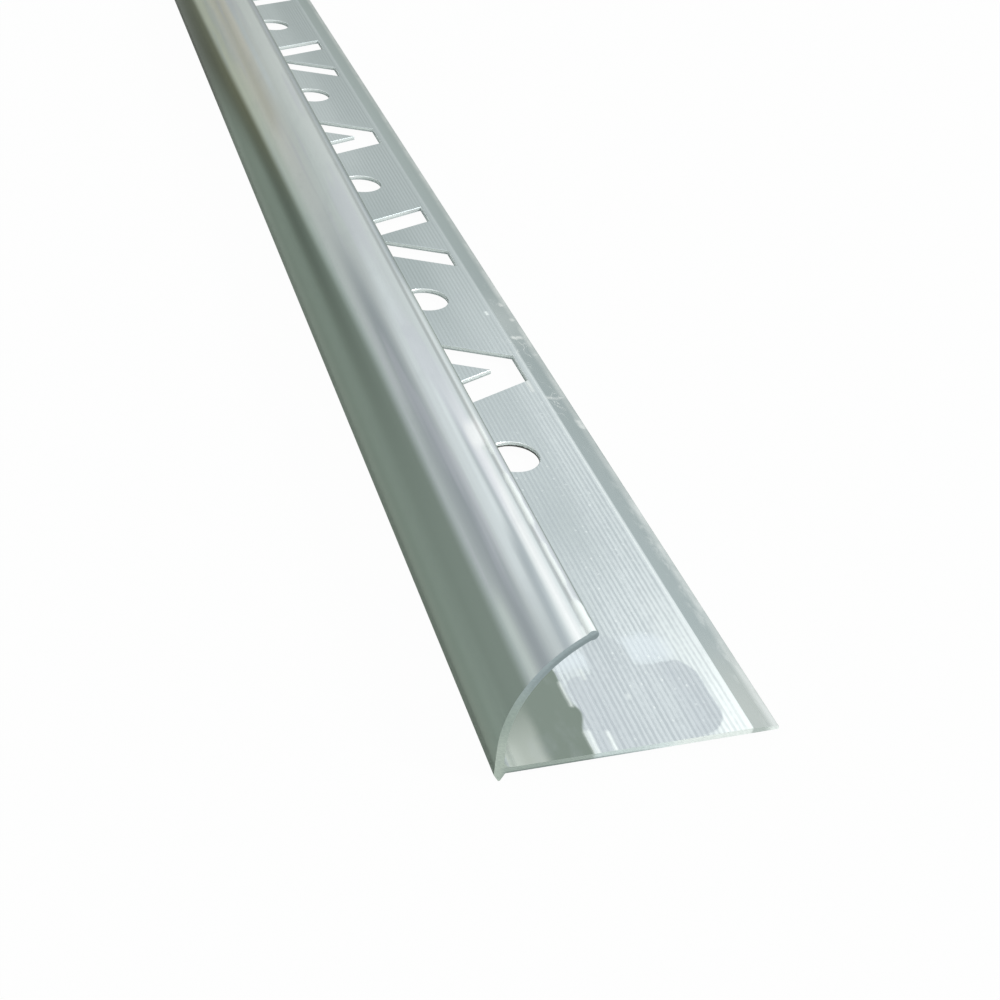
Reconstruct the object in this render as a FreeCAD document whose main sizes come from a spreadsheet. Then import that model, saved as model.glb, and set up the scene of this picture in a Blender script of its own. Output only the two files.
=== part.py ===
import FreeCAD, Part
import Sketcher
import math
import os

# Quarter-round tile trim: one extruded aluminium length. X runs across the leg from the outer wall, Y along
# the length, Z up from the foot's tip. The origin is the middle of the length and width, at the tip's level.

os.makedirs("parts", exist_ok=True)
doc = FreeCAD.newDocument("tile_trim")

# Driving dimensions, in mm and degrees.
dims = {
    "bar_length": (1000, "length as sold; the trade length is 2500"),
    "leg_width": (23.7, "outer wall's face to the leg's edge"),
    "leg_thick": (0.55, "leg under the tile"),
    "edge_width": (2.3, "plain margin that thins towards the leg's edge"),
    "edge_thick": (0.3, "thickness at the leg's edge"),
    "wall_thick": (0.7, "outer wall and arc"),
    "wall_height": (2.65, "leg's underside to the start of the arc"),
    "arc_radius": (11.8, "outer radius of the quarter round"),
    "lip_reach": (6.6, "outer wall's face to the lip's end"),
    "bead_dia": (0.9, "rounded bead on the lip"),
    "corner_radius": (0.8, "fillet inside, between leg and wall"),
    "foot_drop": (0.7, "foot's tip below the leg's underside"),
    "foot_width": (0.9, "foot where it meets the leg's underside"),
    "foot_inset": (0.4, "outer wall's face to the foot's tip"),
    "foot_flat": (0.15, "blunt tip of the foot"),
    "punch_line": (14.4, "outer wall's face to the row of punchings"),
    "first_hole": (40, "near end to the first round hole"),
    "punch_step": (16.6, "round hole to the next vee"),
    "end_margin": (20, "least distance from a punching's centre to the far end"),
    "hole_dia": (5.3, "round hole"),
    "vee_depth": (12.2, "vee across the leg"),
    "vee_slot": (3.85, "width of each of the vee's two slots"),
    "vee_angle": (25.8, "slot's angle from straight across the leg"),
    "vee_tip": (5.4, "blunt point of the vee, along the length"),
}
# Counts that follow from the length: the row goes round, vee, round, turned vee, and again.
counts = {
    "round_count": "floor((bar_length - end_margin - first_hole) / (2 * punch_step)) + 1",
    "vee_count": "floor((bar_length - end_margin - first_hole - punch_step) / (4 * punch_step)) + 1",
    "turned_count": "floor((bar_length - end_margin - first_hole - 3 * punch_step) / (4 * punch_step)) + 1",
}

sheet = doc.addObject("Spreadsheet::Sheet", "Sizes")
row = 0
for name, (value, note) in dims.items():
    row += 1
    sheet.set(f"A{row}", name)
    sheet.set(f"B{row}", str(value))
    sheet.set(f"C{row}", note)
    sheet.setAlias(f"B{row}", name)
for name, formula in counts.items():
    row += 1
    sheet.set(f"A{row}", name)
    sheet.set(f"B{row}", "=" + formula)
    sheet.setAlias(f"B{row}", name)
doc.recompute()

size = {name: float(value) for name, (value, note) in dims.items()}
V = FreeCAD.Vector

body = doc.addObject("PartDesign::Body", "tile_trim")
body.Label = "tile_trim"
plane = {f.Role: f for f in body.Origin.OriginFeatures}


def add_sketch(name, role, offset=None):
    """Sketch on one of the body's own planes, moved by an offset of formulas."""
    sketch = body.newObject("Sketcher::SketchObject", name)
    sketch.AttachmentSupport = [(plane[role], "")]
    sketch.MapMode = "FlatFace"
    for axis, formula in (offset or {}).items():
        sketch.setExpression(f".AttachmentOffset.Base.{axis}", formula)
    return sketch


def dimension(sketch, name, formula, kind, *refs):
    """Named constraint whose value a formula of the sheet drives."""
    index = sketch.addConstraint(Sketcher.Constraint(kind, *refs))
    sketch.renameConstraint(index, name)
    sketch.setExpression(f"Constraints.{name}", formula)


# Section: the outline starts at the foot of the wall and runs round under the leg, back over it and up the wall.
section = add_sketch("Section", "XZ_Plane")
face = -size["leg_width"] / 2
under = size["foot_drop"]
top = under + size["leg_thick"]
inside = face + size["wall_thick"]
spring = under + size["wall_height"]
hub = V(face + size["arc_radius"], spring, 0)
inner_radius = size["arc_radius"] - size["wall_thick"]
mid_radius = size["arc_radius"] - size["wall_thick"] / 2
bead_radius = size["bead_dia"] / 2
bead_x = face + size["lip_reach"] - bead_radius
bead = V(bead_x, spring + math.sqrt(mid_radius**2 - (hub.x - bead_x) ** 2), 0)


def meet(radius):
    """Where the bead's circle crosses an arc of this radius, on the wall's side."""
    ray = bead.sub(hub)
    along = (radius**2 - bead_radius**2 + ray.Length**2) / (2 * ray.Length)
    across = math.sqrt(radius**2 - along**2)
    ray.normalize()
    return hub.add(ray * along).add(V(-ray.y, ray.x, 0) * across)


def angle_of(point, centre):
    return math.atan2(point.y - centre.y, point.x - centre.x)


bead_in, bead_out = meet(inner_radius), meet(size["arc_radius"])
fillet = V(inside + size["corner_radius"], top + size["corner_radius"], 0)
toe = face + size["foot_inset"]
corners = [
    V(face, under, 0),
    V(toe, 0, 0),
    V(toe + size["foot_flat"], 0, 0),
    V(face + size["foot_width"], under, 0),
    V(-face, under, 0),
    V(-face, under + size["edge_thick"], 0),
    V(-face - size["edge_width"], top, 0),
    V(fillet.x, top, 0),
]
lines = [section.addGeometry(Part.LineSegment(a, b)) for a, b in zip(corners, corners[1:])]
cheek, tip, heel, underside, edge, margin, leg_top = lines


def add_arc(centre, radius, start, end):
    circle = Part.Circle(centre, V(0, 0, 1), radius)
    return section.addGeometry(Part.ArcOfCircle(circle, start, end))


corner = add_arc(fillet, size["corner_radius"], math.pi, 1.5 * math.pi)
wall_in = section.addGeometry(Part.LineSegment(V(inside, fillet.y, 0), V(inside, spring, 0)))
arc_in = add_arc(hub, inner_radius, angle_of(bead_in, hub), math.pi)
lip = add_arc(bead, bead_radius, angle_of(bead_in, bead), angle_of(bead_out, bead))
arc_out = add_arc(hub, size["arc_radius"], angle_of(bead_out, hub), math.pi)
wall_out = section.addGeometry(Part.LineSegment(V(face, spring, 0), corners[0]))

first, last, middle = range(1, 4)  # a line's or arc's points, as constraints number them
for a, b in zip(lines, lines[1:]):
    section.addConstraint(Sketcher.Constraint("Coincident", a, last, b, first))
section.addConstraint(
    [
        Sketcher.Constraint("Tangent", leg_top, last, corner, last),
        Sketcher.Constraint("Tangent", corner, first, wall_in, first),
        Sketcher.Constraint("Tangent", wall_in, last, arc_in, last),
        Sketcher.Constraint("Coincident", arc_in, first, lip, first),
        Sketcher.Constraint("Coincident", lip, last, arc_out, first),
        Sketcher.Constraint("Tangent", arc_out, last, wall_out, first),
        Sketcher.Constraint("Coincident", wall_out, last, cheek, first),
        Sketcher.Constraint("Coincident", arc_in, middle, arc_out, middle),
        Sketcher.Constraint("Horizontal", tip),
        Sketcher.Constraint("Horizontal", underside),
        Sketcher.Constraint("Horizontal", leg_top),
        Sketcher.Constraint("Vertical", edge),
        Sketcher.Constraint("Vertical", wall_out),
        Sketcher.Constraint("Vertical", wall_in),
        Sketcher.Constraint("PointOnObject", tip, first, -1),
    ]
)
dimension(section, "half_width", "Sizes.leg_width / 2", "DistanceX", cheek, first, -1, 1, -face)
dimension(section, "foot_inset", "Sizes.foot_inset", "DistanceX", cheek, first, tip, first, size["foot_inset"])
dimension(section, "foot_flat", "Sizes.foot_flat", "DistanceX", tip, first, tip, last, size["foot_flat"])
dimension(section, "foot_width", "Sizes.foot_width", "DistanceX", cheek, first, heel, last, size["foot_width"])
dimension(section, "foot_drop", "Sizes.foot_drop", "DistanceY", heel, first, heel, last, under)
dimension(section, "leg_width", "Sizes.leg_width", "DistanceX", cheek, first, underside, last, -2 * face)
dimension(section, "edge_thick", "Sizes.edge_thick", "DistanceY", edge, first, edge, last, size["edge_thick"])
dimension(section, "edge_width", "Sizes.edge_width", "DistanceX", margin, last, margin, first, size["edge_width"])
dimension(section, "leg_thick", "Sizes.leg_thick", "DistanceY", underside, first, leg_top, last, size["leg_thick"])
dimension(section, "corner_radius", "Sizes.corner_radius", "Radius", corner, size["corner_radius"])
dimension(section, "wall_thick", "Sizes.wall_thick", "DistanceX", cheek, first, wall_in, first, size["wall_thick"])
dimension(section, "wall_height", "Sizes.wall_height", "DistanceY", heel, last, wall_out, first, size["wall_height"])
section.addConstraint(Sketcher.Constraint("Horizontal", cheek, first, heel, last))
dimension(section, "arc_radius", "Sizes.arc_radius", "Radius", arc_out, size["arc_radius"])
dimension(section, "bead_radius", "Sizes.bead_dia / 2", "Radius", lip, bead_radius)
dimension(section, "lip_reach", "Sizes.lip_reach - Sizes.bead_dia / 2", "DistanceX", cheek, first, lip, middle,
          size["lip_reach"] - bead_radius)
dimension(section, "lip_middle", "Sizes.arc_radius - Sizes.wall_thick / 2", "Distance", arc_out, middle, lip, middle,
          mid_radius)

bar = body.newObject("PartDesign::Pad", "Bar")
bar.Profile = section
bar.SideType = "Symmetric"
bar.setExpression("Length", "Sizes.bar_length")
section.Visibility = False
doc.recompute()


def punch(name, sketch, count, step):
    """Cut a sketch up through the leg and repeat the cut along the length."""
    cut = body.newObject("PartDesign::Pocket", name)
    cut.Profile = sketch
    cut.Reversed = True
    cut.setExpression("Length", "Sizes.foot_drop + 2 * Sizes.leg_thick")
    sketch.Visibility = False
    doc.recompute()
    run = body.newObject("PartDesign::LinearPattern", name + "Row")
    run.Originals = [cut]
    run.Direction = (plane["Y_Axis"], [""])
    run.Mode = "Spacing"
    run.setExpression("Offset", step)
    run.setExpression("Occurrences", count)
    body.Tip = run
    doc.recompute()
    return run


def punch_place(steps):
    """Offset of the first punching of its kind, so many steps after the first round hole."""
    return {
        "x": "Sizes.punch_line - Sizes.leg_width / 2",
        "y": f"Sizes.first_hole + {steps} * Sizes.punch_step - Sizes.bar_length / 2",
    }


hole = add_sketch("RoundHole", "XY_Plane", punch_place(0))
ring = hole.addGeometry(Part.Circle(V(0, 0, 0), V(0, 0, 1), size["hole_dia"] / 2))
hole.addConstraint(Sketcher.Constraint("Coincident", ring, middle, -1, 1))
dimension(hole, "hole_dia", "Sizes.hole_dia", "Diameter", ring, size["hole_dia"])
punch("RoundPunch", hole, "Sizes.round_count", "2 * Sizes.punch_step")


def vee_sketch(name, steps, way):
    """Vee of two slots that join at a blunt point; way is 1 with the point to the leg's edge, -1 to the wall."""
    sketch = add_sketch(name, "XY_Plane", punch_place(steps))
    slope = math.tan(math.radians(size["vee_angle"]))
    half = size["vee_depth"] / 2
    slot = size["vee_slot"] / math.cos(math.radians(size["vee_angle"]))
    point = size["vee_tip"] / 2
    tail = point + size["vee_depth"] * slope
    fork = half + (point - slot) / slope
    outline = [V(-half, tail, 0), V(half, point, 0), V(half, -point, 0), V(-half, -tail, 0),
               V(-half, slot - tail, 0), V(fork, 0, 0), V(-half, tail - slot, 0)]
    outline = [V(way * p.x, p.y, 0) for p in outline]
    sides = [sketch.addGeometry(Part.LineSegment(a, b)) for a, b in zip(outline, outline[1:] + outline[:1])]
    far, blunt, near, near_end, near_in, far_in, far_end = sides
    for a, b in zip(sides, sides[1:] + sides[:1]):
        sketch.addConstraint(Sketcher.Constraint("Coincident", a, last, b, first))
    sketch.addConstraint(
        [
            Sketcher.Constraint("Symmetric", blunt, first, blunt, last, -1),
            Sketcher.Constraint("Symmetric", far, first, near, last, -1),
            Sketcher.Constraint("Symmetric", far_in, last, near_in, first, -1),
            Sketcher.Constraint("PointOnObject", far_in, first, -1),
            Sketcher.Constraint("Vertical", far_end),
            Sketcher.Constraint("Parallel", far_in, far),
        ]
    )
    ends = (far, first, far, last) if way > 0 else (far, last, far, first)
    dimension(sketch, "vee_depth", "Sizes.vee_depth", "DistanceX", *ends, size["vee_depth"])
    middle_ends = (-1, 1, blunt, first) if way > 0 else (blunt, first, -1, 1)
    dimension(sketch, "vee_middle", "Sizes.vee_depth / 2", "DistanceX", *middle_ends, half)
    dimension(sketch, "vee_tip", "Sizes.vee_tip", "DistanceY", blunt, last, blunt, first, size["vee_tip"])
    dimension(sketch, "vee_slot", "Sizes.vee_slot", "Distance", far_in, last, far, size["vee_slot"])
    dimension(sketch, "vee_rise", "Sizes.vee_depth * tan(Sizes.vee_angle * 1 deg)", "DistanceY", far, last, far, first,
              tail - point)
    return sketch


punch("VeePunch", vee_sketch("Vee", 1, 1), "Sizes.vee_count", "4 * Sizes.punch_step")
punch("TurnedPunch", vee_sketch("TurnedVee", 3, -1), "Sizes.turned_count", "4 * Sizes.punch_step")

for item in doc.Objects:
    if any(flag in item.State for flag in ("Invalid", "Error")):
        raise RuntimeError(f"{item.Label} is not valid: {item.State}")
if body.Shape.isNull() or not body.Shape.isValid():
    raise RuntimeError("the trim has no valid shape")
body.Shape.exportStep(f"parts/{body.Label}.step")

box = body.Shape.BoundBox
print(f"{body.Label}: {box.XLength:.2f} x {box.YLength:.2f} x {box.ZLength:.2f} mm,"
      f" {body.Shape.Volume:.0f} mm3, {len(body.Shape.Solids)} solid, {len(body.Shape.Faces)} faces")
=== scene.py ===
import math
import random

import bpy
import bmesh
from mathutils import Euler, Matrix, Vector


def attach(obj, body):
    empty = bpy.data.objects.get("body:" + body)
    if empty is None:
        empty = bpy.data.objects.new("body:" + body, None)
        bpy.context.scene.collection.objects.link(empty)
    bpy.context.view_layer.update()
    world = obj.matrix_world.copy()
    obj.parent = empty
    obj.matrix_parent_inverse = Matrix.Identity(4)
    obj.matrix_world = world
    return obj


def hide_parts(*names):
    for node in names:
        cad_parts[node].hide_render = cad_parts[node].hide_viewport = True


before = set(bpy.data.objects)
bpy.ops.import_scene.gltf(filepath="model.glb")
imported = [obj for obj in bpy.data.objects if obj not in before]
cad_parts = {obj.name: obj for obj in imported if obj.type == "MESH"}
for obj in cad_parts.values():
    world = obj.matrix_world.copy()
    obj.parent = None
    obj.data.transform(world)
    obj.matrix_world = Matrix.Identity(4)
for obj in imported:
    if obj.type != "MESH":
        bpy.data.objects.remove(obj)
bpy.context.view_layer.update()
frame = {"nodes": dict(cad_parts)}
mm = 0.001
root = "root"
print("frame loaded:", ", ".join(frame["nodes"]))


# one wrapped socket, so that shader maths reads as an expression
class Wire:
    def __init__(self, tree, socket=None):
        self.tree, self.socket = tree, socket

    def node(self, kind, settings=(), inputs=(), out=0):
        made = self.tree.nodes.new("ShaderNode" + kind)
        for name, value in dict(settings).items():
            if name == "stops":  # a ramp's stops, as (place, colour) pairs
                stops = made.color_ramp.elements
                while len(stops) < len(value):
                    stops.new(1.0)
                for stop, (place, colour) in zip(stops, value):
                    stop.position = place
                    stop.color = colour if isinstance(colour, tuple) else (colour, colour, colour, 1)
            elif name == "ease":
                made.color_ramp.interpolation = value
            else:
                setattr(made, name, value)
        for name, value in dict(inputs).items():
            if isinstance(value, Wire):
                self.tree.links.new(value.socket, made.inputs[name])
            else:
                made.inputs[name].default_value = value
        return Wire(self.tree, made.outputs[out] if made.outputs else made)

    def maths(self, operation, *values):
        return self.node("Math", {"operation": operation}, enumerate(values))

    def __add__(self, other):
        return self.maths("ADD", self, other)

    def __sub__(self, other):
        return self.maths("SUBTRACT", self, other)

    def __rsub__(self, other):
        return self.maths("SUBTRACT", other, self)

    def __mul__(self, other):
        return self.maths("MULTIPLY", self, other)

    def __truediv__(self, other):
        return self.maths("DIVIDE", self, other)

    def __rtruediv__(self, other):
        return self.maths("DIVIDE", other, self)

    def __abs__(self):
        return self.maths("ABSOLUTE", self)

    __radd__, __rmul__ = __add__, __mul__

    def most(self, other):
        return self.maths("MAXIMUM", self, other)

    def least(self, other):
        return self.maths("MINIMUM", self, other)

    def ramp(self, low, high, first=0.0, last=1.0):  # eased step from first to last between low and high
        settings = {"interpolation_type": "SMOOTHSTEP"}
        inputs = {"Value": self, "From Min": low, "From Max": high, "To Min": first, "To Max": last}
        return self.node("MapRange", settings, inputs)

    def far(self, other):  # distance, with self and other at right angles
        return self.maths("POWER", self * self + other * other, 0.5)

    def bell(self, centre, reach):  # 1 at the centre, eased to 0 at the reach
        return abs(self - centre).ramp(0.0, reach, 1.0, 0.0)

    def tint(self, colour, other):  # colour where self is 0, other where it is 1
        return self.node("Mix", {"data_type": "RGBA"}, {0: self, 6: colour, 7: other}, out=2)

    def noise(self, size, detail=2.0, rough=0.5):  # self is a vector; size is in mm
        inputs = {"Vector": self, "Scale": 1 / size, "Detail": detail, "Roughness": rough}
        return self.node("TexNoise", {"noise_dimensions": "3D"}, inputs)


def vector(wire, x, y, z=0.0):
    return wire.node("CombineXYZ", inputs={0: x, 1: y, 2: z})


def linear(*shown):  # a colour as a screen shows it, 0 to 255, in linear light
    return tuple(((c / 255 + 0.055) / 1.055) ** 2.4 if c > 10 else c / 3295 for c in shown) + (1,)


# the trim's section, in mm from the outer wall's face and the foot's tip
trim = {
    "length": 1000,
    "legWidth": 23.7,
    "legThick": 0.55,
    "marginWidth": 2.3,
    "edgeThick": 0.3,
    "edgeRound": 0.1,
    "wallThick": 0.7,
    "wallHeight": 2.65,  # from the leg's underside to the start of the arc
    "arcRadius": 11.8,
    "lipReach": 6.6,
    "beadSize": 0.9,
    "cornerRadius": 0.8,
    "footDrop": 0.7,
    "footWidth": 0.9,
    "footInset": 0.4,
    "footFlat": 0.15,
    "arcSteps": 72,
    "ribPitch": 0.467,
    "ribCount": 28,
    "lastRib": 21.0,  # crest beside the plain margin
    "ribDepth": 0.026,
    "ribSteps": 8,
    "sharpFrom": 38,  # degrees between faces from which their edge stays sharp
}
punches = {
    "line": 14.4,
    "first": 40.0,
    "step": 16.6,
    "endMargin": 20.0,
    "hole": 5.3,
    "holeSteps": 40,
    "depth": 12.2,
    "slot": 3.85,
    "angle": 25.8,
    "point": 5.4,
    "roll": 0.07,  # rounded-over upper edge that the punch leaves
    "below": 0.4,  # how far the punch passes under the leg
    "above": 0.1,  # and how far it starts over it
    "across": (7.0, 21.35),  # punched walls lie between these, from the outer wall's face
}

face = -trim["legWidth"] / 2
under = trim["footDrop"]
top = under + trim["legThick"]
spring = under + trim["wallHeight"]
hub = (face + trim["arcRadius"], spring)
innerRadius = trim["arcRadius"] - trim["wallThick"]
midRadius = trim["arcRadius"] - trim["wallThick"] / 2
beadRadius = trim["beadSize"] / 2
beadX = face + trim["lipReach"] - beadRadius
bead = (beadX, spring + math.sqrt(midRadius**2 - (hub[0] - beadX) ** 2))
nearEnd = -trim["length"] / 2
marginStart = trim["legWidth"] - trim["marginWidth"]


def arcPoints(centre, radius, start, stop, steps):  # angles in radians, both ends kept
    turns = [start + (stop - start) * i / steps for i in range(steps + 1)]
    return [(centre[0] + radius * math.cos(a), centre[1] + radius * math.sin(a)) for a in turns]


def beadMeets(radius):  # where the bead's circle crosses an arc, on the wall's side
    ray = Vector((bead[0] - hub[0], bead[1] - hub[1]))
    along = (radius**2 - beadRadius**2 + ray.length_squared) / (2 * ray.length)
    across = math.sqrt(radius**2 - along**2)
    ray.normalize()
    return (hub[0] + ray.x * along - ray.y * across, hub[1] + ray.y * along + ray.x * across)


def angleAt(point, centre):
    return math.atan2(point[1] - centre[1], point[0] - centre[0])


def ribs():
    # crests keep the leg's full thickness; each groove has its own depth, as a worn die leaves it
    dice = random.Random(7)
    pitch, steps, points = trim["ribPitch"], trim["ribSteps"], []
    for rib in range(trim["ribCount"]):
        crest = face + trim["lastRib"] - rib * pitch
        depth = trim["ribDepth"] * dice.uniform(0.65, 1.0)
        for step in range(steps):
            turn = step / steps
            wave = 0.5 - 0.5 * math.cos(2 * math.pi * turn)
            points.append((crest - turn * pitch, top - depth * wave**0.8))
    points.append((face + trim["lastRib"] - trim["ribCount"] * pitch, top))
    return points


def outline():
    toe = face + trim["footInset"]
    inside = face + trim["wallThick"]
    soft = trim["edgeRound"]
    edgeTop = under + trim["edgeThick"]
    points = [(face, under), (toe, 0), (toe + trim["footFlat"], 0), (face + trim["footWidth"], under)]
    points += [(-face - soft, under)] + arcPoints((-face - soft, under + soft), soft, -math.pi / 2, 0, 3)[1:]
    slope = math.atan2(top - edgeTop, trim["marginWidth"])
    points += arcPoints((-face - soft, edgeTop - soft * 0.9), soft, 0, math.pi / 2 - slope, 4)
    points += [(-face - trim["marginWidth"], top)]
    points += ribs()
    points += [(inside + trim["cornerRadius"], top)]
    corner = (inside + trim["cornerRadius"], top + trim["cornerRadius"])
    points += arcPoints(corner, trim["cornerRadius"], -math.pi / 2, -math.pi, 8)[1:]
    meetIn, meetOut = beadMeets(innerRadius), beadMeets(trim["arcRadius"])
    points += arcPoints(hub, innerRadius, math.pi, angleAt(meetIn, hub), trim["arcSteps"])
    points += arcPoints(bead, beadRadius, angleAt(meetIn, bead), angleAt(meetOut, bead), 16)[1:]
    points += arcPoints(hub, trim["arcRadius"], angleAt(meetOut, hub), math.pi, trim["arcSteps"])[1:]
    return points


def slotOutline(way, grow=0.0):  # vee of two slots; way is 1 with the point to the leg's edge
    slope = math.tan(math.radians(punches["angle"]))
    lean = 1 / math.cos(math.radians(punches["angle"]))
    half = punches["depth"] / 2 + grow
    point = punches["point"] / 2 + grow * (lean - slope)
    tail = point + 2 * half * slope
    width = punches["slot"] * lean + 2 * grow * lean
    fork = half + (point - width) / slope
    shape = [(-half, tail), (half, point), (half, -point), (-half, -tail), (-half, width - tail), (fork, 0),
             (-half, tail - width)]
    shape = [(way * x, y) for x, y in shape]
    return shape[::-1] if way > 0 else shape


def holeOutline(grow=0.0):
    radius = punches["hole"] / 2 + grow
    turns = [2 * math.pi * i / punches["holeSteps"] for i in range(punches["holeSteps"])]
    return [(radius * math.cos(a), radius * math.sin(a)) for a in turns]


def addLoops(mesh, loops):  # stacked loops of points joined into a closed skin
    rings = [[mesh.verts.new(Vector(p) * mm) for p in loop] for loop in loops]
    count = len(rings[0])
    for low, high in zip(rings, rings[1:]):
        for i in range(count):
            j = (i + 1) % count
            mesh.faces.new((low[i], low[j], high[j], high[i]))
    mesh.faces.new(rings[0][::-1])
    mesh.faces.new(rings[-1])


def meshObject(name, mesh):
    bmesh.ops.recalc_face_normals(mesh, faces=mesh.faces)
    data = bpy.data.meshes.new(name)
    mesh.to_mesh(data)
    mesh.free()
    made = bpy.data.objects.new(name, data)
    bpy.context.scene.collection.objects.link(made)
    return made


def makeBar():
    bar = bmesh.new()
    section = outline()
    addLoops(bar, [[(x, y, z) for x, z in section] for y in (nearEnd, -nearEnd)])
    return meshObject("trimLength", bar)


def makePunches():
    tools = bmesh.new()
    roll, above = punches["roll"], punches["above"]
    middle = face + punches["line"]
    levels = ((under - punches["below"], 0), (top - roll, 0), (top + above, roll + above))
    place, index = punches["first"], 0
    while place <= trim["length"] - punches["endMargin"]:
        kind = index % 4
        loops = []
        for z, grow in levels:
            shape = holeOutline(grow) if kind in (0, 2) else slotOutline(1 if kind == 1 else -1, grow)
            loops.append([(middle + x, nearEnd + place + y, z) for x, y in shape])
        addLoops(tools, loops)
        place += punches["step"]
        index += 1
    print("punchings:", index)
    return meshObject("punchTools", tools)


bar = makeBar()
tools = makePunches()
cut = bar.modifiers.new("punched", "BOOLEAN")
cut.operation, cut.solver, cut.object = "DIFFERENCE", "MANIFOLD", tools
bpy.context.view_layer.update()
cutMesh = bpy.data.meshes.new_from_object(bar.evaluated_get(bpy.context.evaluated_depsgraph_get()))
bar.modifiers.clear()
bar.data = cutMesh
bpy.data.objects.remove(tools)
triangles = sum(len(side.vertices) - 2 for side in cutMesh.polygons)
print("bar:", len(cutMesh.vertices), "points,", triangles, "triangles")

# faces are sorted by what made them: the die, the punch or the saw
cutMesh.materials.clear()
shades = {"millSkin": 0, "punchedWall": 1, "sawnEnd": 2}
first, last = punches["across"]
for side in cutMesh.polygons:
    middle = side.center / mm
    fromEnd = -nearEnd - abs(middle.y)
    inLeg = under < middle.z < top - punches["roll"] / 4 and face + first < middle.x < face + last
    made = "millSkin"
    if fromEnd < 0.01:
        made = "sawnEnd"
    elif fromEnd > punches["endMargin"] and inLeg and abs(side.normal.z) < 0.8:
        made = "punchedWall"
    side.use_smooth = True
    side.material_index = shades[made]
cutMesh.set_sharp_from_angle(angle=math.radians(trim["sharpFrom"]))

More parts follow.
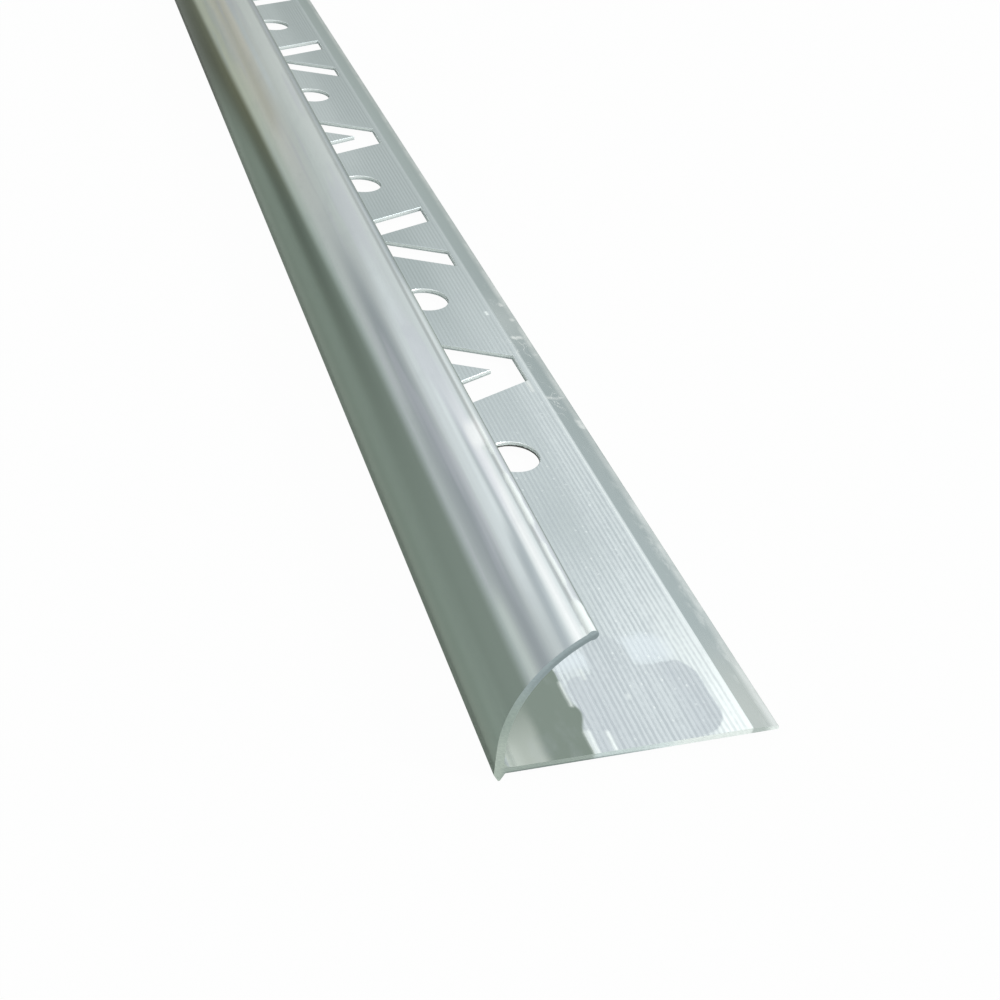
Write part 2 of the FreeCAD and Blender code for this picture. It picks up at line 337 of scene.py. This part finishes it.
# finish of the aluminium: colours as a screen shows them, places in mm from the wall's face and the near end
finish = {
    "skin": (214, 222, 223),  # upper arc
    "skinFar": (242, 248, 246),
    "leg": (230, 238, 240),  # crests of the ribs
    "legFar": (216, 224, 225),
    "inside": (196, 204, 204),  # arc's inner side
    # the outer wall's tones below are painted reflection of the darker room and floor beside it: lighter
    # beside the floor, darker on the low arc, in a band and in an olive stretch
    "foot": (244, 252, 247),  # outer wall beside the floor
    "wall": (212, 223, 217),  # outer wall, a greener grey
    "lowArc": (157, 166, 161),  # and the arc just above it
    "darkBand": (112, 119, 114),
    "olive": (128, 123, 102),
    # the tones from here to the olive patch are painted reflection tones for the arc's bands and highlights;
    # the darker grey also tints the die streaks and the leg's shaded stretches
    "bright": (228, 238, 235),
    "polished": (253, 255, 255),
    "clear": (242, 250, 252),
    "dull": (176, 185, 190),
    "beige": (252, 248, 236),
    "olivePatch": (222, 221, 209),
    # the smooth strip below is painted darker as the reflection and shade of the arc over it, and paler in a
    # painted wedge of light at the near corner
    "plain": (133, 145, 136),  # smooth strip of the leg beside the wall
    "plainPale": (184, 192, 184),
    "cornerPale": (205, 213, 205),
    "margin": (178, 189, 190),
    "marginNear": (196, 203, 200),
    "marginFar": (194, 205, 204),
    # pale worn edge of the margin; the same tone paints the sawn leg's end paler, as painted light
    "wearAndPaintedLight": (248, 252, 250),
    # painted shade in the rib grooves
    "groove": (190, 199, 203),
    "film": (192, 199, 206),  # dried film on the near end of the ribs
    # white residue on the leg; on the arc the same tone is a painted highlight along the lip
    "residue": (240, 246, 244),
    "bluish": (238, 247, 253),
    "punched": (240, 245, 245),
    "tornAndShaded": (88, 88, 84),  # lower, torn part of a punched wall, near end, painted dark as shade under the leg
    "tornFar": (196, 204, 204),
    "sawnLip": (180, 190, 196),
    "sawnMiddle": (180, 191, 184),
    "sawnFoot": (205, 213, 205),
    "sawnLeg": (190, 199, 193),
    "sawnShade": (100, 112, 117),
    "rosy": (224, 226, 236),
    "skinRough": 0.2,
    "legRough": 0.27,
    "plainRough": 0.16,
    "residueRough": 0.25,  # roughness that white residue adds
    "residueCover": 0.75,  # share of the metal that it hides
    "streakHeight": 0.05,  # relief of the die streaks
    "cutHeight": 0.03,  # relief of the punched and sawn faces
    "stripWidth": 8.0,  # wall's face to the smooth strip's edge
    "edgeTint": (0.58, 0.6, 0.56, 1),  # colour left at a glancing look
    "shadeEdge": (30.6, 18.0),  # degrees round the arc where the wall's painted reflection ends: near end, far
    # painted reflection bands and highlights along the arc: degrees round it, half width, from and to along,
    # degrees of lean in 100 mm, strength, tone
    "paintedArcBands": [
        (35.6, 3.6, -9, 9, -14, 0.9, "bright"),
        (36.6, 3.6, 11, 34, 0, 0.4, "dull"),
        (40.8, 4.6, -9, 62, 0, 0.85, "dull"),
        (37.5, 5.5, 104, 300, 0, 0.8, "olivePatch"),
        (47.6, 3.0, 6, 52, 0, 0.85, "clear"),
        (50.4, 2.2, 14, 34, 0, 0.8, "clear"),
        (50.8, 3.8, 29, 66, 0, 0.85, "clear"),
        (50.8, 2.4, -9, 13, 8, 0.85, "dull"),
        (52.8, 1.3, 9, 30, 0, 0.6, "dull"),
        (47.0, 7.5, 68, 112, 0, 0.6, "bright"),
        (46.3, 2.6, 112, 300, 0, 0.8, "clear"),
        (55.8, 2.4, -9, 30, 0, 0.95, "polished"),
        # painted highlight along the lip
        (60.2, 1.1, -9, 32, 0, 0.95, "residue"),
        (59.0, 1.6, -6, 1, 0, 0.9, "residue"),
        (60.3, 0.9, 36, 60, 0, 0.35, "residue"),
        (61.9, 2.0, 54, 1300, 0, 0.75, "dull"),
    ],
    # patches on the leg: middle across and along, half sizes, corner radius
    "filmSpots": [
        (11.7, 1.2, 3.45, 7.2, 1.5),
        (12.9, 6.0, 1.85, 6.8, 1.8),
        (15.6, 2.6, 1.6, 6.2, 1.2),
        (17.4, 4.6, 2.25, 4.3, 2.2),
    ],
    "blueSpots": [(16.5, 10.6, 2.0, 1.7, 1.2), (9.8, 10.3, 1.6, 1.1, 0.9)],
    "dropsAndLipHighlights": [
        (8.25, 0.4, 0.24, 2.1, 0.24),
        (9.8, 0.5, 0.17, 1.6, 0.17),
        (8.0, 6.7, 0.07, 1.4, 0.07),
        (10.1, 8.6, 0.09, 0.6, 0.09),
        (12.9, 5.4, 0.07, 0.25, 0.07),
        (20.5, 69.0, 0.12, 0.4, 0.12),
    ],
    "scuffs": [
        (23.0, 71.2, 0.34, 0.5, 0.3),
        (23.1, 67.3, 0.3, 0.4, 0.3),
        (22.3, 63.2, 0.7, 0.3, 0.3),
        (23.3, 59.3, 0.25, 0.4, 0.25),
        (22.4, 50.2, 0.95, 0.12, 0.1),
        (23.35, 45.0, 0.3, 1.0, 0.3),
        (20.3, 53.0, 0.12, 1.5, 0.12),
    ],
    # the same on the arc, with degrees round it in place of mm across
    # painted highlights along the lip
    "lipHighlights": [
        (60.6, 1.4, 1.5, 2.2, 0.9),
        (60.2, 8.0, 0.8, 2.6, 0.6),
        (60.4, 16.5, 1.0, 3.6, 0.8),
        (60.0, 25.0, 0.6, 2.0, 0.5),
    ],
    "nick": [(58.8, 24.4, 1.9, 0.2, 0.2)],
    # the glint is a painted highlight beside the lip
    "glint": [(57.5, 26.6, 3.2, 1.9, 1.6)],
    # painted shade in stretches of the leg: middle and reach along, across where each starts and where it
    # weakens, strength before and after that
    "shadedStretches": [
        (28.0, 16.0, (12.0, 13.5), (16.0, 19.0), (0.5, 0.15)),
        (16.0, 8.0, (8.6, 9.6), (13.2, 15.2), (0.36, 0.0)),
        (46.0, 28.0, (12.0, 13.5), (17.5, 19.5), (0.45, 0.15)),
        (101.0, 22.0, (0.0, 0.1), (16.0, 19.0), (0.3, 0.1)),
    ],
}


def newMaterial(name):
    material = bpy.data.materials.new(name)
    material.use_nodes = True
    tree = material.node_tree
    return material, Wire(tree), tree.nodes["Principled BSDF"].inputs


def feed(tree, sockets, values):
    for name, value in values.items():
        if isinstance(value, Wire):
            tree.links.new(value.socket, sockets[name])
        else:
            sockets[name].default_value = value


def patches(across, along, boxes, soft):  # 1 inside a set of rounded boxes
    shape = 0.0
    for x, y, halfX, halfY, corner in boxes:
        sideX = (abs(across - x) - (halfX - corner)).most(0.0)
        sideY = (abs(along - y) - (halfY - corner)).most(0.0)
        shape = (sideX.far(sideY) - corner).ramp(-soft, soft, 1.0, 0.0).most(shape)
    return shape


def tone(name):
    return linear(*finish[name])


def arcColour(turn, girth, along, streaks, broad, rosy):
    # painted reflection: the outer wall is a greener grey than the arc, with a darker band that drops along
    # its length and an olive stretch further on, all standing in for the darker room it mirrors
    wall = girth.ramp(-1.6, 0.8).tint(tone("foot"), tone("wall"))
    wall = turn.ramp(6.0, 20.0).tint(wall, tone("lowArc"))
    band = turn.bell(25.5 - along * 0.055, 8.5) * along.ramp(10.0, 95.0, 0.0, 0.85)
    wall = (band * along.ramp(280.0, 360.0, 1.0, 0.2)).tint(wall, tone("darkBand"))
    dim = (along + turn * 1.78).ramp(118.0, 165.0) * along.ramp(175.0, 270.0, 1.0, 0.0)
    wall = dim.tint(wall, tone("olive"))
    # painted reflection: the arc grows paler along its length and warmer further on, then painted bands and
    # highlights round it
    warm = turn.ramp(40.0, 52.0, 1.0, 0.0) * along.ramp(60.0, 140.0, 0.0, 0.9)
    warm = warm * along.ramp(280.0, 360.0, 1.0, 0.0)
    skin = along.ramp(20.0, 130.0).tint(tone("skin"), warm.tint(tone("skinFar"), tone("beige")))
    for angle, half, start, stop, lean, strength, name in finish["paintedArcBands"]:
        centre = angle + along * (lean / 100)
        ends = along.ramp(start - 6, start + 5) * along.ramp(stop * 0.75, stop * 1.3, 1.0, 0.0)
        paintedBand = (turn + (broad - 0.5) * 3.0).bell(centre, half * 1.3) * ends * strength
        skin = paintedBand.tint(skin, tone(name))
    skin = (streaks.ramp(0.45, 0.75) * 0.2).tint(skin, tone("dull"))
    skin = (rosy.ramp(0.5, 0.65) * 0.4).tint(skin, tone("rosy"))
    # painted highlight beside the lip
    skin = (patches(turn, along, finish["glint"], 1.2) * 0.9).tint(skin, tone("polished"))
    skin = (patches(turn, along, finish["nick"], 0.4) * 0.35).tint(skin, tone("wall"))
    edge = along.ramp(30.0, 190.0, *finish["shadeEdge"])
    shaded = (turn - edge + (broad - 0.5) * 2.0).ramp(-2.8, 3.2, 1.0, 0.0)
    return shaded.tint(skin, wall), shaded, shaded * dim


def legColour(wire, across, along, depth, streaks, mottle):
    lines = vector(wire, across, along * 0.03, 11.0).noise(0.22, 2.0, 0.6)
    grain = vector(wire, across, along * 0.6, 5.0).noise(0.35, 2.0, 0.6)
    wobble = (mottle - 0.5) * 1.6
    film = patches(across + wobble * 0.5, along + wobble, finish["filmSpots"], 0.14)
    blue = patches(across + wobble, along + wobble, finish["blueSpots"], 0.8) * (1 - film)
    margin = across.ramp(marginStart - 0.1, marginStart + 0.05)
    strip = across + wobble * 0.4 - along.bell(4.3, 1.8) * 0.45 - finish["stripWidth"]
    strip = strip.ramp(-0.15, 0.15, 1.0, 0.0)
    ribbed = (1 - strip) * (1 - margin)

    # dried white residue beside the film, and small bright specks that are painted glints
    wash = along.ramp(-2.0, 22.0, 1.0, 0.0) * across.ramp(17.0, 19.6, 0.05, 0.85) * (1 - film)
    cell = {"Vector": vector(wire, across, along * 0.7), "Scale": 1.1}
    kind = {"voronoi_dimensions": "2D", "feature": "F1"}
    chosen = wire.node("SeparateXYZ", inputs={0: wire.node("TexVoronoi", kind, cell, out=1)}, out=0)
    speck = wire.node("TexVoronoi", kind, cell).ramp(0.02, 0.17, 1.0, 0.0) * chosen.ramp(0.38, 0.92)
    speck = speck * along.ramp(35.0, 75.0, 0.65, 0.1) * mottle.ramp(0.35, 0.6)
    white = (wash.most(speck) * ribbed).most(patches(across + wobble * 0.2, along, finish["dropsAndLipHighlights"], 0.3))
    white = white.most(across.bell(marginStart - 0.25, 0.14) * along.ramp(25.0, 75.0, 0.5, 0.15))

    # bare margin: its sharp edge is worn pale, with scuffs and fine scratches
    scratchLane = vector(wire, across * 1.5 + along * 0.12, along * 0.5, 3.0).noise(1.4, 3.0, 0.6)
    scuffs = (scratchLane - 0.5).bell(0.0, 0.02) * mottle.ramp(0.46, 0.6) * across.ramp(19.5, 22.3)
    spots = vector(wire, across * 1.3, along * 0.55, 31.0).noise(1.0, 3.0, 0.6)
    rubbed = patches(across + wobble * 0.4, along + wobble, finish["scuffs"], 0.35)
    rubbed = rubbed * spots.ramp(0.25, 0.55, 0.5, 1.0)
    rubbed = rubbed.most(spots.ramp(0.45, 0.65) * across.ramp(22.0, 23.4) * along.ramp(26.0, 44.0, 0.5, 0.0))
    scuffs = scuffs * along.bell(58.0, 24.0) + rubbed * 0.9
    scuffs = scuffs.most(along.bell(67.0, 9.0) * margin * 0.22)
    rim = across.ramp(22.7, 23.5, 0.0, 0.8) * (mottle * 0.6 + streaks * 0.4).ramp(0.4, 0.58, 0.45, 1.0)
    rim = rim * (1 - along.bell(43.0, 14.0) * 0.5)

    # crests and grooves of the ribs, with painted shade here and there and in the grooves, then what lies on
    # them
    colour = along.ramp(25.0, 120.0).tint(tone("leg"), tone("legFar"))
    # painted shade: darker in the middle of the length and towards the margin further along, in the margin's
    # tone
    colour = (along.bell(80.0, 42.0) * across.ramp(15.0, 19.0, 0.75, 0.3)).tint(colour, tone("margin"))
    colour = (across.ramp(14.0, 19.0) * along.ramp(40.0, 120.0, 0.0, 0.4)).tint(colour, tone("margin"))
    for middle, reach, start, weaker, strengths in finish["shadedStretches"]:
        dull = along.bell(middle, reach) * across.ramp(*start) * across.ramp(*weaker, *strengths)
        colour = (dull * (1 - blue)).tint(colour, tone("margin"))
    # painted shade in the grooves, stronger near the end
    wearAndPaintedLight = depth + (lines - 0.5) * 1.5 + (grain - 0.5) * 1.2
    colour = (wearAndPaintedLight.ramp(-0.1, 1.1) * along.ramp(25.0, 85.0, 0.75, 0.1)).tint(colour, tone("groove"))
    dried = across.ramp(10.0, 13.0, 0.45, 0.25).most(across.ramp(15.0, 17.5, 0.0, 0.45))
    colour = (film * dried).tint(colour, tone("film"))
    colour = (blue * 0.55).tint(colour, tone("bluish"))

    # smooth strip, painted darker as the reflection and shade of the arc over it, paler in a painted wedge of
    # light at the near corner, and the margin
    wedge = (across + along * 0.03 + wobble * 0.6).ramp(3.9, 5.0, 1.0, 0.0) * along.ramp(0.0, 8.5, 1.0, 0.0)
    corner = across.ramp(1.4, 2.8, 1.0, 0.0) * along.ramp(1.5, 3.5, 1.0, 0.0)
    pale = corner.tint(tone("plainPale"), tone("cornerPale"))
    colour = strip.tint(colour, wedge.tint(tone("plain"), pale))
    bare = along.ramp(2.0, 14.0).tint(tone("marginNear"), tone("margin"))
    bare = along.ramp(40.0, 140.0).tint(bare, tone("marginFar"))
    colour = margin.tint(colour, bare)
    colour = (rim * margin).most(scuffs).tint(colour, tone("wearAndPaintedLight"))
    # residue, with painted shade in the grooves
    residue = (wearAndPaintedLight.ramp(-0.1, 1.1) * ribbed * 0.45).tint(tone("residue"), tone("groove"))
    return white.tint(colour, residue), white, strip


def millSkin():
    material, wire, sockets = newMaterial("mill aluminium")
    place = wire.node("TexCoord", out="Object")
    x, y, z = (wire.node("SeparateXYZ", inputs={0: place}, out=axis) / mm for axis in range(3))
    across, along = x - face, y - nearEnd
    out, up = hub[0] - x, z - hub[1]
    turn = up.maths("ARCTAN2", up, out) * (180 / math.pi)  # degrees round the arc from the wall's side
    turn = up.ramp(-0.1, 0.0) * turn
    # outer side: past the middle of the arc's thickness and up to the lip, or the wall's face
    onOuter = (out.far(up) - innerRadius).ramp(0.3, 0.4)
    onOuter = onOuter * across.ramp(trim["lipReach"] + 0.3, trim["lipReach"] + 0.4, 1.0, 0.0)
    onOuter = onOuter.most(across.ramp(0.2, 0.3, 1.0, 0.0))
    onLeg = (1 - onOuter) * z.ramp(top + 0.02, top + 0.1, 1.0, 0.0)
    girth = turn * (trim["arcRadius"] * math.pi / 180) + up.least(0.0)

    # streaks run with the die, along the length
    lane = vector(wire, girth * onOuter + across * (1 - onOuter), along * 0.015, onOuter * 40.0)
    streaks = lane.noise(1.1, 3.0, 0.55)
    fine = lane.noise(0.25, 2.0, 0.5)
    broad = vector(wire, girth * 0.5, along * 0.02, 7.0).noise(1.8, 2.0)
    mottle = vector(wire, across, along * 0.45, z).noise(2.0, 4.0, 0.6)
    rosy = vector(wire, girth, along * 0.04, 23.0).noise(1.3, 2.0)
    depth = ((top - z) / trim["ribDepth"]).ramp(0.1, 0.9) * onLeg

    legTone, white, strip = legColour(wire, across, along, depth, streaks, mottle)
    arcTone, shaded, dim = arcColour(turn, girth, along, streaks, broad, rosy)
    # painted highlights along the lip, paler and less metallic
    dropsAndLipHighlights = patches(turn + (mottle - 0.5) * 2.5, along, finish["lipHighlights"], 0.5)
    white = white * onLeg + dropsAndLipHighlights * onOuter * 0.85
    base = onLeg.tint(onOuter.tint(tone("inside"), arcTone), legTone)
    base = (mottle.ramp(0.5, 0.75) * 0.12 * (1 - shaded * onOuter)).tint(base, tone("film"))
    base = (dropsAndLipHighlights * onOuter * 0.85).tint(base, tone("residue"))
    rough = finish["legRough"] + onOuter * (finish["skinRough"] - finish["legRough"])
    rough = rough + strip * onLeg * (finish["plainRough"] - finish["legRough"])
    rough = rough + white * finish["residueRough"]
    rough = rough + along.ramp(45.0, 110.0, 0.0, 0.06) * onLeg
    rough = rough + across.ramp(1.3, 2.0, 0.3, 0.0) * (1 - onOuter)  # fillet between leg and wall
    rough = rough + (streaks - 0.5) * 0.1 + (fine - 0.5) * 0.06 - dim * onOuter * 0.09
    height = streaks * 0.5 + fine * 0.2 + broad * onOuter * 1.2
    bump = wire.node("Bump", {}, {"Strength": 0.5, "Distance": finish["streakHeight"] * mm, "Height": height})
    metal = 1 - white * finish["residueCover"]
    values = {"Base Color": base, "Metallic": metal, "Roughness": rough, "Normal": bump}
    values["Specular Tint"] = finish["edgeTint"]
    feed(wire.tree, sockets, values)
    return material


def punchedWall():
    material, wire, sockets = newMaterial("punched wall")
    place = wire.node("TexCoord", out="Object")
    y, z = (wire.node("SeparateXYZ", inputs={0: place}, out=axis) / mm for axis in (1, 2))
    grain = wire.node("TexNoise", {}, {"Vector": place, "Scale": 4000.0, "Detail": 2.0})
    tornAndShaded = (z + (grain - 0.5) * 0.25).ramp(0.84, 0.92, 1.0, 0.0)  # the punch shears the upper part clean
    # the lower torn part is rougher, and painted dark near the end as shade under the leg
    base = tornAndShaded.tint(tone("punched"), (y - nearEnd).ramp(42.0, 60.0).tint(tone("tornAndShaded"), tone("tornFar")))
    bump = wire.node("Bump", {}, {"Strength": 0.4, "Distance": finish["cutHeight"] * mm, "Height": grain})
    values = {"Base Color": base, "Metallic": 0.35, "Roughness": 0.3 + tornAndShaded * 0.4, "Normal": bump}
    feed(wire.tree, sockets, values)
    return material


def sawnEnd():
    material, wire, sockets = newMaterial("sawn end")
    place = wire.node("TexCoord", out="Object")
    x, z = (wire.node("SeparateXYZ", inputs={0: place}, out=axis) / mm for axis in (0, 2))
    across = x - face
    cuts = vector(wire, x * 0.4, x * 0.9 + z * 1.4).noise(0.12, 2.0)
    inner = ((hub[0] - x).far(z - hub[1]) - innerRadius).ramp(0.2, 0.5, 1.0, 0.0)  # burr on the inner side
    arc = z.ramp(6.0, 10.5).tint(tone("sawnMiddle"), tone("sawnLip"))
    arc = z.ramp(3.0, 6.0).tint(tone("sawnFoot"), arc)
    arc = (inner * z.ramp(7.0, 12.0) * 0.35).tint(arc, tone("sawnShade"))
    leg = (across - finish["stripWidth"]).ramp(-0.4, 0.4).tint(tone("sawnLeg"), tone("clear"))
    # painted light: the sawn leg paler towards its edge
    leg = across.ramp(13.5, 16.0).tint(leg, tone("wearAndPaintedLight"))
    bare = across.ramp(22.4, 23.2).tint(tone("marginNear"), tone("wearAndPaintedLight"))
    leg = across.ramp(marginStart - 0.2, marginStart + 0.1).tint(leg, bare)
    low = z.ramp(0.78, 0.9, 1.0, 0.0) * across.ramp(9.0, 15.0, 0.5, 0.0) * across.ramp(0.6, 1.2)
    leg = low.tint(leg, tone("sawnShade"))
    base = (z.ramp(1.28, 1.4) + across.ramp(0.5, 0.9, 1.0, 0.0)).least(1.0).tint(leg, arc)
    base = (cuts.ramp(0.35, 0.7) * 0.2).tint(base, tone("sawnShade"))
    bump = wire.node("Bump", {}, {"Strength": 0.4, "Distance": finish["cutHeight"] * mm, "Height": cuts})
    values = {"Base Color": base, "Roughness": 0.42 + cuts * 0.12, "Normal": bump}
    values["Metallic"] = across.ramp(11.0, 16.0, 0.7, 0.15)  # the cut looks paler towards the leg's edge
    feed(wire.tree, sockets, values)
    return material


for make in (millSkin, punchedWall, sawnEnd):
    cutMesh.materials.append(make())
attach(bar, root)
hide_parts("tile_trim")
print("finish on:", ", ".join(m.name for m in cutMesh.materials))

# floor and light
studio = {
    "floorSize": 12.0,
    "floor": (176, 184, 178),
    "white": 0.975,  # how much of the floor is plain white to the camera
    "inMetal": 0.06,  # and in the metal's reflections, where its shadow shows more
    "keyPlace": (0.75, -0.95, 0.8),
    "keyAim": (0, -0.4, 0),
    "keySize": 0.3,
    "keyPower": 9.0,
    "skyColour": (0.98, 1.0, 1.0, 1),
    # brightness against height, from the horizon (0) to overhead (1)
    "sky": [
        (0.0, 0.72), (0.04, 0.6), (0.11, 0.58), (0.2, 0.7), (0.3, 0.88),
        (0.4, 1.0), (0.5, 1.0), (0.67, 0.8), (1.0, 0.6),
    ],
    # soft panels: azimuth, elevation, reach in degrees and strength
    "panels": [(-30, 44, 22, 0.12), (44, 8, 26, 0.2), (150, 40, 35, 0.3), (-110, 45, 35, 0.3)],
}


def whiteShare(wire, direct):  # how much plain white the rays see that leave the camera or the metal
    names = ("Camera", "Glossy", "Transmission")
    camera, glossy, glass = (wire.node("LightPath", out=f"Is {name} Ray") for name in names)
    return camera.most(glass) * direct + glossy * studio["inMetal"]


def makeFloor():
    sheet = bmesh.new()
    bmesh.ops.create_grid(sheet, x_segments=1, y_segments=1, size=studio["floorSize"] / 2)
    floor = meshObject("floor", sheet)
    material = bpy.data.materials.new("pale floor")
    material.use_nodes = True
    tree = material.node_tree
    tree.nodes.clear()
    wire = Wire(tree)
    seen = whiteShare(wire, studio["white"])
    plain = wire.node("BsdfDiffuse", inputs={"Color": linear(*studio["floor"])})
    white = wire.node("Emission", inputs={"Color": (1, 1, 1, 1), "Strength": 1.0})
    both = wire.node("MixShader", inputs={0: seen, 1: plain, 2: white})
    wire.node("OutputMaterial", inputs={"Surface": both})
    floor.data.materials.append(material)


def aimAt(azimuth, elevation):  # azimuth from the far end round to the leg's side, in degrees
    a, e = math.radians(azimuth), math.radians(elevation)
    return (math.sin(a) * math.cos(e), math.cos(a) * math.cos(e), math.sin(e))


def makeSky():
    # a plain studio all round, pale at the horizon, with a few soft panels of its own
    world = bpy.data.worlds.new("studio")
    bpy.context.scene.world = world
    world.use_nodes = True
    tree = world.node_tree
    wire = Wire(tree)
    aim = wire.node("TexCoord", out="Generated")
    height = wire.node("SeparateXYZ", inputs={0: aim}, out=2)
    rise = height.maths("ARCSINE", height) * (2 / math.pi)  # 0 at the horizon, 1 overhead
    glow = rise.node("ValToRGB", {"stops": studio["sky"], "ease": "EASE"}, {0: rise})
    level = wire.node("SeparateXYZ", inputs={0: glow}, out=0)
    for azimuth, elevation, reach, strength in studio["panels"]:
        inputs = {0: aim, 1: aimAt(azimuth, elevation)}
        near = wire.node("VectorMath", {"operation": "DOT_PRODUCT"}, inputs, out=1)
        level = level + near.ramp(math.cos(math.radians(reach)), 1.0) * strength
    level = level + whiteShare(wire, 1.0) * (1 - level)
    tree.links.new(level.socket, tree.nodes["Background"].inputs["Strength"])
    tree.nodes["Background"].inputs["Color"].default_value = studio["skyColour"]


def makeKey():
    lamp = bpy.data.lights.new("key", "AREA")
    lamp.shape, lamp.size, lamp.energy = "DISK", studio["keySize"], studio["keyPower"]
    key = bpy.data.objects.new("key", lamp)
    key.location = studio["keyPlace"]
    key.rotation_euler = (Vector(studio["keyAim"]) - key.location).to_track_quat("-Z", "Y").to_euler()
    bpy.context.scene.collection.objects.link(key)


makeFloor()
makeSky()
makeKey()
print("floor and light set")

# camera at the photo's place, just off the near end
view = {
    "place": (-0.041232, -0.570257, 0.078573),
    "turn": (54.9401, -5.4437, -17.4591),
    "lens": 51.8846,
    "sensor": 36,
    "clip": (0.001, 100),
}
eye = bpy.data.cameras.new("eye")
eye.lens, eye.sensor_width, eye.sensor_fit = view["lens"], view["sensor"], "HORIZONTAL"
eye.clip_start, eye.clip_end = view["clip"]
camera = bpy.data.objects.new("eye", eye)
camera.location = view["place"]
camera.rotation_euler = Euler([math.radians(a) for a in view["turn"]], "XYZ")
bpy.context.scene.collection.objects.link(camera)
bpy.context.scene.camera = camera
bpy.context.scene.view_settings.view_transform = "Standard"
